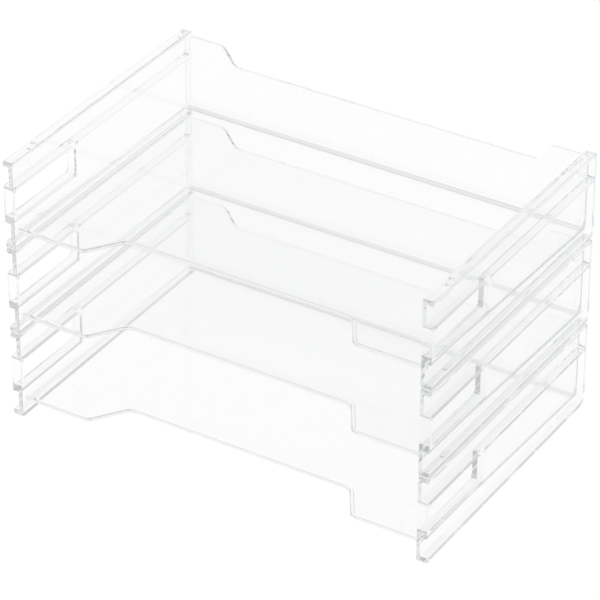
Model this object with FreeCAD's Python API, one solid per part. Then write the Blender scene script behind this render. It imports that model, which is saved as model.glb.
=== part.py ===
import FreeCAD, Part
import math
import os

# Stack of three clear letter trays. Millimetres, +Z up, front towards -Y.
# The origin lies under the middle of the stack, on the plane the feet stand on.

# Tray as a whole
tray_width = 340.0
tray_depth = 228.0
tray_pitch = 70.0
tier_names = ("bottom", "middle", "top")

# Side panels: a web on the inner side with flanges and ribs standing outwards from it.
# The channels between them are open at the front and closed by an end plate at the back.
rail_width = 8.0
web_thickness = 3.0
top_flange_thickness = 3.4
bottom_flange_thickness = 5.4
end_plate_thickness = 3.0
rib_thickness = 3.4
upper_rib_height = 50.6
sill_height = 24.4
window_length = 73.0
window_rim_thickness = 3.0
front_corner_radius = 2.0
back_top_corner_radius = 4.0
back_bottom_corner_radius = 7.0
window_corner_radius = 3.5
pocket_corner_radius = 2.5
inner_edge_radius = 0.6
outer_edge_radius = 0.5

# Pan: a floor that falls towards the back, bent up into the back wall
pan_thickness = 2.6
pan_front_setback = 3.5
pan_back_setback = 0.6
floor_front_height = 16.6
floor_back_height = 8.4
back_wall_height = 65.2
bend_inner_radius = 9.0
bend_outer_radius = 1.5
pan_edge_radius = 0.4
pan_edge_flat = 0.2
bond_gap = 0.1

# Hand notch in the front edge of the floor, between two lips
front_lip_width = 54.0
front_notch_depth = 28.0
front_notch_flank_run = 17.5
front_notch_radius = 8.0

# Bead under the floor's front edge and around the hand notch
front_bead_width = 3.5
front_bead_depth = 3.5
front_bead_radius = 1.6

# Notch in the top edge of the back wall, between two corners
back_corner_width = 27.0
back_notch_depth = 14.5
back_notch_flank_run = 10.0
back_notch_radius = 7.0

# Stacking feet under the panels and the sockets that take them in the top flanges
foot_height = 2.0
foot_length = 28.0
foot_width = 4.6
foot_end_setback = 5.0
foot_corner_radius = 1.6
foot_edge_radius = 0.5
socket_clearance = 0.4
tier_gap = 0.3
seat_gap = 0.1
slot_length = 17.0
slot_width = 3.4

# Sizes worked out from those above
panel_height = tray_pitch - tier_gap
socket_depth = foot_height - tier_gap + seat_gap
outer_x = tray_width / 2
inner_x = outer_x - rail_width
rail_middle_x = outer_x - rail_width / 2
pan_half_width = inner_x - bond_gap
front_notch_inner_width = 2 * (pan_half_width - front_lip_width - front_notch_flank_run)
back_notch_bottom_width = 2 * (pan_half_width - back_corner_width - back_notch_flank_run)
front_y = -tray_depth / 2
back_y = tray_depth / 2
pan_edge_y = front_y + pan_front_setback
wall_outer_y = back_y - pan_back_setback
wall_inner_y = wall_outer_y - pan_thickness
floor_fall = (floor_front_height - floor_back_height) / (wall_inner_y - pan_edge_y)
floor_stretch = math.hypot(1, floor_fall)
inner_back_y = back_y - end_plate_thickness
window_front_y = front_y + end_plate_thickness
window_back_y = window_front_y + window_length
reach = tray_width + tray_depth + tray_pitch
plane_tolerance = 0.05


def rounded_wire(points, radii, place):
    """Closed wire through 2-D points, each corner rounded by its radius; place turns (u, v) into a 3-D point."""
    count = len(points)
    ends = []
    for index in range(count):
        before, corner, after = points[index - 1], points[index], points[(index + 1) % count]
        arm_in = (before[0] - corner[0], before[1] - corner[1])
        arm_out = (after[0] - corner[0], after[1] - corner[1])
        unit_in = tuple(value / math.hypot(*arm_in) for value in arm_in)
        unit_out = tuple(value / math.hypot(*arm_out) for value in arm_out)
        half_angle = math.acos(unit_in[0] * unit_out[0] + unit_in[1] * unit_out[1]) / 2
        setback = radii[index] / math.tan(half_angle)
        middle = (unit_in[0] + unit_out[0], unit_in[1] + unit_out[1])
        middle_length = math.hypot(*middle)
        sagitta = radii[index] / math.sin(half_angle) - radii[index]
        start = (corner[0] + unit_in[0] * setback, corner[1] + unit_in[1] * setback)
        top = (corner[0] + middle[0] / middle_length * sagitta, corner[1] + middle[1] / middle_length * sagitta)
        stop = (corner[0] + unit_out[0] * setback, corner[1] + unit_out[1] * setback)
        ends.append((start, top, stop))
    edges = []
    for index in range(count):
        start, top, stop = ends[index]
        if radii[index] > 0:
            edges.append(Part.Arc(place(*start), place(*top), place(*stop)).toShape())
        next_start = ends[(index + 1) % count][0]
        edges.append(Part.LineSegment(place(*stop), place(*next_start)).toShape())
    return Part.Wire(edges)


def prism(points, radii, place, direction):
    """Solid made by pushing a rounded outline along a vector."""
    return Part.Face(rounded_wire(points, radii, place)).extrude(direction)


def rectangle(low_u, low_v, high_u, high_v):
    """Corner points of a rectangle, in order."""
    return [(low_u, low_v), (high_u, low_v), (high_u, high_v), (low_u, high_v)]


def side_prism(points, radii, low_x, high_x):
    """Prism of an outline drawn in Y and Z, between two X planes."""
    return prism(points, radii, lambda y, z: FreeCAD.Vector(low_x, y, z), FreeCAD.Vector(high_x - low_x, 0, 0))


def plan_prism(points, radii, low_z, high_z):
    """Prism of an outline drawn in X and Y, between two Z planes."""
    return prism(points, radii, lambda x, y: FreeCAD.Vector(x, y, low_z), FreeCAD.Vector(0, 0, high_z - low_z))


def foot_middle_y(end):
    """Middle of a foot along the rail; end is -1 at the front and 1 at the back."""
    return end * (back_y - foot_end_setback - foot_length / 2)


def foot_plan(end, margin):
    """Corners of a foot's outline on the right rail, grown by a margin."""
    middle_y = foot_middle_y(end)
    half_width = foot_width / 2 + margin
    half_length = foot_length / 2 + margin
    return rectangle(rail_middle_x - half_width, middle_y - half_length,
                     rail_middle_x + half_width, middle_y + half_length)


def edges_at_x(shape, x):
    """Edges of a shape that lie in one X plane."""
    edges = []
    for edge in shape.Edges:
        box = edge.BoundBox
        if box.XLength < plane_tolerance and abs(box.Center.x - x) < plane_tolerance:
            edges.append(edge)
    return edges


def make_right_panel():
    """Right side panel, standing on Z = 0."""
    outline = rectangle(front_y, 0, back_y, panel_height)
    corner_radii = [front_corner_radius, back_bottom_corner_radius, back_top_corner_radius, front_corner_radius]
    panel = side_prism(outline, corner_radii, inner_x, outer_x)
    panel = panel.makeFillet(inner_edge_radius, edges_at_x(panel, inner_x))
    panel = panel.makeFillet(outer_edge_radius, edges_at_x(panel, outer_x))
    pocket_floor_x = inner_x + web_thickness
    open_y = front_y - reach
    upper_pocket = rectangle(open_y, upper_rib_height, inner_back_y, panel_height - top_flange_thickness)
    panel = panel.cut(side_prism(upper_pocket, [pocket_corner_radius] * 4, pocket_floor_x, outer_x + reach))
    rim_back_y = window_back_y + window_rim_thickness
    sill_bottom = sill_height - rib_thickness
    window_top = upper_rib_height - rib_thickness
    lower_pocket = [
        (open_y, bottom_flange_thickness),
        (inner_back_y, bottom_flange_thickness),
        (inner_back_y, window_top),
        (rim_back_y, window_top),
        (rim_back_y, sill_bottom),
        (open_y, sill_bottom),
    ]
    lower_radii = [pocket_corner_radius, back_bottom_corner_radius - end_plate_thickness] + [pocket_corner_radius] * 4
    panel = panel.cut(side_prism(lower_pocket, lower_radii, pocket_floor_x, outer_x + reach))
    window = rectangle(window_front_y, sill_height, window_back_y, window_top)
    panel = panel.cut(side_prism(window, [window_corner_radius] * 4, inner_x - reach, outer_x + reach))
    for end in (-1, 1):
        panel = panel.cut(make_socket(end))
    return panel


def make_socket(end):
    """Recess for a foot in the top of the right panel, with a slot through its floor."""
    recess_bottom = panel_height - socket_depth
    recess_radii = [foot_corner_radius + socket_clearance] * 4
    recess = plan_prism(foot_plan(end, socket_clearance), recess_radii, recess_bottom, panel_height + reach)
    middle_y = foot_middle_y(end)
    flange_bottom = panel_height - top_flange_thickness
    half_width = slot_width / 2
    straight = (slot_length - slot_width) / 2
    slot_corner = FreeCAD.Vector(rail_middle_x - half_width, middle_y - straight, flange_bottom)
    tool = recess.fuse(Part.makeBox(slot_width, 2 * straight, top_flange_thickness, slot_corner))
    for side in (-1, 1):
        end_middle = FreeCAD.Vector(rail_middle_x, middle_y + side * straight, flange_bottom)
        tool = tool.fuse(Part.makeCylinder(half_width, top_flange_thickness, end_middle))
    return tool


def make_right_foot(end):
    """Foot of the right panel, bonded under the bottom flange, which is at Z = 0."""
    foot = plan_prism(foot_plan(end, 0), [foot_corner_radius] * 4, -foot_height, -bond_gap)
    underside = [edge for edge in foot.Edges if edge.BoundBox.ZMax < -foot_height / 2]
    return foot.makeFillet(foot_edge_radius, underside)


def floor_height(y):
    """Height of the floor's upper face, above the plane that the panels stand on."""
    return floor_front_height - floor_fall * (y - pan_edge_y)


def pan_profile():
    """Side outline of the pan in Y and Z, with its radii; it runs past the front and top edges cut later."""
    drop = pan_thickness * floor_stretch
    wall_end = back_wall_height + pan_thickness
    points = [
        (front_y, floor_height(front_y)),
        (wall_inner_y, floor_back_height),
        (wall_inner_y, wall_end),
        (wall_outer_y, wall_end),
        (wall_outer_y, floor_height(wall_outer_y) - drop),
        (front_y, floor_height(front_y) - drop),
    ]
    radii = [0, bend_inner_radius, 0, 0, bend_outer_radius, 0]
    return points, radii


def notched_outline(low, high, notch_half_width, flank_run, notch_depth, mouth_radius, corner_radius):
    """Outline as wide as the pan, from low to high, with a rounded trapezium notch at high, and its radii."""
    mouth = notch_half_width + flank_run
    notch_floor = high - notch_depth
    points = [
        (-pan_half_width, low),
        (pan_half_width, low),
        (pan_half_width, high),
        (mouth, high),
        (notch_half_width, notch_floor),
        (-notch_half_width, notch_floor),
        (-mouth, high),
        (-pan_half_width, high),
    ]
    radii = [0, 0, 0, mouth_radius, corner_radius, corner_radius, mouth_radius, 0]
    return points, radii


def front_prism(inset):
    """Upright prism with the pan's plan, its front edge and hand notch drawn back by an inset."""
    flank_length = math.hypot(front_notch_flank_run, front_notch_depth)
    spread = inset * (flank_length - front_notch_flank_run) / front_notch_depth
    plan, radii = notched_outline(-back_y, -pan_edge_y - inset, front_notch_inner_width / 2 + spread,
                                  front_notch_flank_run, front_notch_depth,
                                  front_notch_radius - inset, front_notch_radius + inset)
    return plan_prism([(x, -y) for x, y in plan], radii, -reach, reach)


def make_front_bead():
    """Bead with a rounded underside that follows the floor's front edge, from the middle of the floor's thickness."""
    back_end_y = pan_edge_y + front_notch_depth + 2 * front_bead_width
    top_drop = pan_thickness / 2 * floor_stretch
    bottom_drop = front_bead_depth * floor_stretch
    section = [
        (front_y, floor_height(front_y) - top_drop),
        (back_end_y, floor_height(back_end_y) - top_drop),
        (back_end_y, floor_height(back_end_y) - bottom_drop),
        (front_y, floor_height(front_y) - bottom_drop),
    ]
    slab = side_prism(section, [0] * 4, -pan_half_width, pan_half_width)
    bead = slab.common(front_prism(0)).cut(front_prism(front_bead_width))
    underside = []
    for edge in bead.Edges:
        middle = edge.BoundBox.Center
        at_bottom = abs(middle.z - floor_height(middle.y) + bottom_drop) < plane_tolerance
        if at_bottom and edge.BoundBox.XLength > plane_tolerance:
            underside.append(edge)
    return bead.makeFillet(min(front_bead_radius, (front_bead_width - pan_edge_flat) / 2), underside)


def make_pan():
    """Pan between the two webs, at the height of panels that stand on Z = 0."""
    profile, profile_radii = pan_profile()
    pan = side_prism(profile, profile_radii, -pan_half_width, pan_half_width)
    pan = pan.common(front_prism(0))
    wall, wall_radii = notched_outline(-reach, back_wall_height, back_notch_bottom_width / 2, back_notch_flank_run,
                                       back_notch_depth, back_notch_radius, back_notch_radius)
    wall_tool = prism(wall, wall_radii, lambda x, z: FreeCAD.Vector(x, -reach, z), FreeCAD.Vector(0, 2 * reach, 0))
    pan = pan.common(wall_tool)
    edge_radius = min(pan_edge_radius, (pan_thickness - pan_edge_flat) / 2)
    pan = pan.makeFillet(edge_radius, free_edges(pan))
    return pan.fuse(make_front_bead()).removeSplitter()


def free_edges(pan):
    """Long edges around the front of the floor's upper face and along the top of the back wall."""
    notch_back_y = pan_edge_y + front_notch_depth
    notch_floor_z = back_wall_height - back_notch_depth
    edges = []
    for edge in pan.Edges:
        box = edge.BoundBox
        at_pan_end = box.XLength < plane_tolerance and abs(box.Center.x) > pan_half_width - plane_tolerance
        at_floor_top = abs(box.Center.z - floor_height(box.Center.y)) < plane_tolerance
        on_floor = at_floor_top and box.YMax < notch_back_y + pan_thickness
        on_wall = box.ZMin > notch_floor_z - pan_thickness and max(box.XLength, box.ZLength) > pan_edge_radius
        if (on_floor or on_wall) and not at_pan_end:
            edges.append(edge)
    return edges


def mirrored(shape):
    """Left-hand copy of a right-hand piece."""
    return shape.mirror(FreeCAD.Vector(0, 0, 0), FreeCAD.Vector(1, 0, 0))


def make_tray():
    """Named pieces of one tray whose panels stand on Z = 0."""
    right_panel = make_right_panel()
    pieces = {"pan": make_pan(), "right_panel": right_panel, "left_panel": mirrored(right_panel)}
    for end, end_name in ((-1, "front"), (1, "back")):
        foot = make_right_foot(end)
        pieces[end_name + "_right_foot"] = foot
        pieces[end_name + "_left_foot"] = mirrored(foot)
    return pieces


os.makedirs("parts", exist_ok=True)
tray_pieces = make_tray()
for tier, tier_name in enumerate(tier_names):
    lift = FreeCAD.Vector(0, 0, foot_height + tier * tray_pitch)
    for piece_name, piece in tray_pieces.items():
        placed = piece.translated(lift)
        placed.exportStep("parts/" + tier_name + "_" + piece_name + ".step")
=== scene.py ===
import math

import bpy
from mathutils import Matrix, Vector

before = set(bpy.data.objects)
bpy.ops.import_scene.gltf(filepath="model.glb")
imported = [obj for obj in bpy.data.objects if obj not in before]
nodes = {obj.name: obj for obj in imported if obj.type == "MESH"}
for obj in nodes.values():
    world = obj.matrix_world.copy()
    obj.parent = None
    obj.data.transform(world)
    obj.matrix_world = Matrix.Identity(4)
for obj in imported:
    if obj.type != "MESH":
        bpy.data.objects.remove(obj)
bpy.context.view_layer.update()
scene = bpy.context.scene

# Camera, fitted to the corners of the rails in the photograph
IMAGE_SIDE = 600
FOCAL_PIXELS = 3605.1
SENSOR_WIDTH = 36.0
CAMERA_AZIMUTH = math.radians(31.466)
CAMERA_ELEVATION = math.radians(32.613)
CAMERA_ROLL = math.radians(0.236)
CAMERA_OFFSET = Vector((0.000134, 0.079648, 2.588272))
CAMERA_CLIP_END = 100.0

# Clear plastic, what all pieces share
PLASTIC_IOR = 1.49
TINT_LOW = (0.972, 0.974, 0.975, 1.0)
TINT_HIGH = (0.979, 0.98, 0.981, 1.0)
DEPTH_COLOR = (0.55, 0.58, 0.6, 1.0)
WAVE_DETAIL = 0.0
WAVE_STRENGTH = 0.25
SCUFF_DETAIL = 4.0
SCUFF_START = 0.52
SCUFF_FULL = 0.75
SCUFF_ROUGHNESS = 0.012
NORMAL_WEIGHT = 100

# Floor
FLOOR_SIDE = 40.0
FLOOR_COLOR = (0.95, 0.95, 0.95, 1.0)
GLOW_STRENGTH = 1.03
GLOW_SHARE = 0.95
WHITE = (1.0, 1.0, 1.0, 1.0)

# Sky: a level for each region, with the region's centre and the cosines or heights over which it fades.
# The back and front regions are mirrored left and right.
SKY_LEVEL = 0.3
BACK_CENTRE = (0.443, 0.718, 0.537)
BACK_FADE = (0.8, 0.93)
BACK_LOW_LEVEL = 0.94
BACK_HIGH_LEVEL = 0.56
BACK_HEIGHTS = (0.49, 0.58)
FRONT_CENTRE = (0.443, -0.5, 0.744)
FRONT_FADE = (0.74, 0.88)
FRONT_LEVEL = 0.85
HORIZON_HEIGHTS = (0.08, 0.36)
HORIZON_LEVEL = 0.95
OVERHEAD_CENTRE = (0.0, 0.38, 0.925)
OVERHEAD_FADE = (0.8, 0.88)
OVERHEAD_LEVEL = 0.6

# Light has to pass through many thin walls
LIGHT_BOUNCES = 320


def node_tree(owner):
    """Empty node tree of a material or world."""
    owner.use_nodes = True
    tree = owner.node_tree
    tree.nodes.clear()
    return tree


def add_node(tree, kind, inputs=None, **settings):
    """New node with its settings and input values; an input given as a socket is linked."""
    node = tree.nodes.new(kind)
    for key, value in settings.items():
        setattr(node, key, value)
    for key, value in (inputs or {}).items():
        if isinstance(value, bpy.types.NodeSocket):
            tree.links.new(value, node.inputs[key])
        else:
            node.inputs[key].default_value = value
    return node


def math_node(tree, operation, first, second=0.0):
    """Output of a math node."""
    return add_node(tree, "ShaderNodeMath", {0: first, 1: second}, operation=operation).outputs[0]


def fade(tree, value, limits, start, end):
    """Output that goes smoothly from start to end while the value goes from the first limit to the second."""
    inputs = {"Value": value, "From Min": limits[0], "From Max": limits[1], "To Min": start, "To Max": end}
    return add_node(tree, "ShaderNodeMapRange", inputs, interpolation_type="SMOOTHSTEP").outputs[0]


def nearness(tree, direction, centre):
    """Output with the cosine of the angle between a direction and a region's centre."""
    inputs = {0: direction, 1: centre}
    return add_node(tree, "ShaderNodeVectorMath", inputs, operation="DOT_PRODUCT").outputs["Value"]


def clear_plastic(name, wave_scale, wave_height, scuff_scale, absorption):
    """Polished clear plastic with faint waves, fine scuffs and an even loss of light in its depth."""
    material = bpy.data.materials.new(name)
    tree = node_tree(material)
    place = add_node(tree, "ShaderNodeTexCoord").outputs["Object"]
    waves = add_node(tree, "ShaderNodeTexNoise", {
        "Vector": place,
        "Scale": wave_scale,
        "Detail": WAVE_DETAIL,
    })
    scuffs = add_node(tree, "ShaderNodeTexNoise", {
        "Vector": place,
        "Scale": scuff_scale,
        "Detail": SCUFF_DETAIL,
    })
    worn = add_node(tree, "ShaderNodeMapRange", {
        "Value": scuffs.outputs["Fac"],
        "From Min": SCUFF_START,
        "From Max": SCUFF_FULL,
        "To Min": 0.0,
        "To Max": SCUFF_ROUGHNESS,
    })
    tint = add_node(tree, "ShaderNodeMixRGB", {
        "Fac": waves.outputs["Fac"],
        "Color1": TINT_LOW,
        "Color2": TINT_HIGH,
    })
    bump = add_node(tree, "ShaderNodeBump", {
        "Height": waves.outputs["Fac"],
        "Strength": WAVE_STRENGTH,
        "Distance": wave_height,
    })
    surface = add_node(tree, "ShaderNodeBsdfPrincipled", {
        "Base Color": tint.outputs[0],
        "Roughness": worn.outputs[0],
        "Normal": bump.outputs[0],
        "IOR": PLASTIC_IOR,
        "Transmission Weight": 1.0,
    })
    depth = add_node(tree, "ShaderNodeVolumeAbsorption", {"Color": DEPTH_COLOR, "Density": absorption})
    add_node(tree, "ShaderNodeOutputMaterial", {"Surface": surface.outputs[0], "Volume": depth.outputs[0]})
    return material


def stage_material():
    """Pale floor that shows white to the camera and in the plastic and keeps a soft shadow."""
    material = bpy.data.materials.new("stage_white")
    tree = node_tree(material)
    diffuse = add_node(tree, "ShaderNodeBsdfDiffuse", {"Color": FLOOR_COLOR})
    glow = add_node(tree, "ShaderNodeEmission", {"Color": WHITE, "Strength": GLOW_STRENGTH})
    seen = add_node(tree, "ShaderNodeMixShader", {0: GLOW_SHARE, 1: diffuse.outputs[0], 2: glow.outputs[0]})
    path = add_node(tree, "ShaderNodeLightPath")
    direct = math_node(tree, "MAXIMUM", path.outputs["Is Camera Ray"], path.outputs["Is Glossy Ray"])
    direct = math_node(tree, "MAXIMUM", direct, path.outputs["Is Transmission Ray"])
    shown = add_node(tree, "ShaderNodeMixShader", {0: direct, 1: diffuse.outputs[0], 2: seen.outputs[0]})
    add_node(tree, "ShaderNodeOutputMaterial", {"Surface": shown.outputs[0]})
    return material


def studio_world():
    """White sky whose level depends on the direction; clear plastic shows its edges by these differences."""
    world = bpy.data.worlds.new("studio")
    tree = node_tree(world)
    direction = add_node(tree, "ShaderNodeTexCoord").outputs["Generated"]
    parts = add_node(tree, "ShaderNodeSeparateXYZ", {0: direction})
    height = parts.outputs["Z"]
    mirrored_x = math_node(tree, "ABSOLUTE", parts.outputs["X"])
    folded = add_node(tree, "ShaderNodeCombineXYZ", {
        "X": mirrored_x,
        "Y": parts.outputs["Y"],
        "Z": height,
    }).outputs[0]
    back_level = fade(tree, height, BACK_HEIGHTS, BACK_LOW_LEVEL, BACK_HIGH_LEVEL)
    level = fade(tree, nearness(tree, folded, BACK_CENTRE), BACK_FADE, SKY_LEVEL, back_level)
    level = fade(tree, nearness(tree, folded, FRONT_CENTRE), FRONT_FADE, level, FRONT_LEVEL)
    level = fade(tree, height, HORIZON_HEIGHTS, HORIZON_LEVEL, level)
    level = fade(tree, nearness(tree, direction, OVERHEAD_CENTRE), OVERHEAD_FADE, level, OVERHEAD_LEVEL)
    backdrop = add_node(tree, "ShaderNodeBackground", {"Color": WHITE, "Strength": level})
    add_node(tree, "ShaderNodeOutputWorld", {"Surface": backdrop.outputs[0]})
    return world


def fitted_camera():
    """Camera of the photograph's view."""
    level_reach = math.cos(CAMERA_ELEVATION)
    back = Vector((
        math.sin(CAMERA_AZIMUTH) * level_reach,
        -math.cos(CAMERA_AZIMUTH) * level_reach,
        math.sin(CAMERA_ELEVATION),
    ))
    level_right = Vector((math.cos(CAMERA_AZIMUTH), math.sin(CAMERA_AZIMUTH), 0.0))
    level_up = back.cross(level_right)
    right = level_right * math.cos(CAMERA_ROLL) + level_up * math.sin(CAMERA_ROLL)
    up = level_up * math.cos(CAMERA_ROLL) - level_right * math.sin(CAMERA_ROLL)
    turn = Matrix((right, up, back)).transposed()
    camera_data = bpy.data.cameras.new("camera")
    camera_data.sensor_width = SENSOR_WIDTH
    camera_data.lens = FOCAL_PIXELS / IMAGE_SIDE * SENSOR_WIDTH
    camera_data.clip_end = CAMERA_CLIP_END
    camera = bpy.data.objects.new("camera", camera_data)
    scene.collection.objects.link(camera)
    camera.matrix_world = Matrix.Translation(turn @ CAMERA_OFFSET) @ turn.to_4x4()
    return camera


# Wave height in metres, absorption per metre
pan_plastic = clear_plastic(
    "pan_plastic", wave_scale=5.0, wave_height=0.0004, scuff_scale=160.0, absorption=1.1)
panel_plastic = clear_plastic(
    "panel_plastic", wave_scale=7.0, wave_height=0.0003, scuff_scale=220.0, absorption=1.6)
foot_plastic = clear_plastic(
    "foot_plastic", wave_scale=20.0, wave_height=0.0001, scuff_scale=400.0, absorption=1.6)

for name, node in nodes.items():
    if name.endswith("_pan"):
        material = pan_plastic
    elif name.endswith("_panel"):
        material = panel_plastic
    else:
        material = foot_plastic
    node.data.materials.clear()
    node.data.materials.append(material)
    even = node.modifiers.new("even_normals", "WEIGHTED_NORMAL")
    even.mode = "FACE_AREA"
    even.weight = NORMAL_WEIGHT
    even.keep_sharp = True

bpy.ops.mesh.primitive_plane_add(size=FLOOR_SIDE)
floor = bpy.context.object
floor.name = "floor"
floor.data.materials.append(stage_material())

scene.world = studio_world()
scene.camera = fitted_camera()

scene.view_settings.view_transform = "Standard"
scene.cycles.max_bounces = LIGHT_BOUNCES
scene.cycles.transmission_bounces = LIGHT_BOUNCES
scene.cycles.glossy_bounces = LIGHT_BOUNCES
scene.cycles.blur_glossy = 0.0
scene.cycles.use_denoising = True
scene.cycles.denoising_input_passes = "RGB"

bpy.context.view_layer.update()
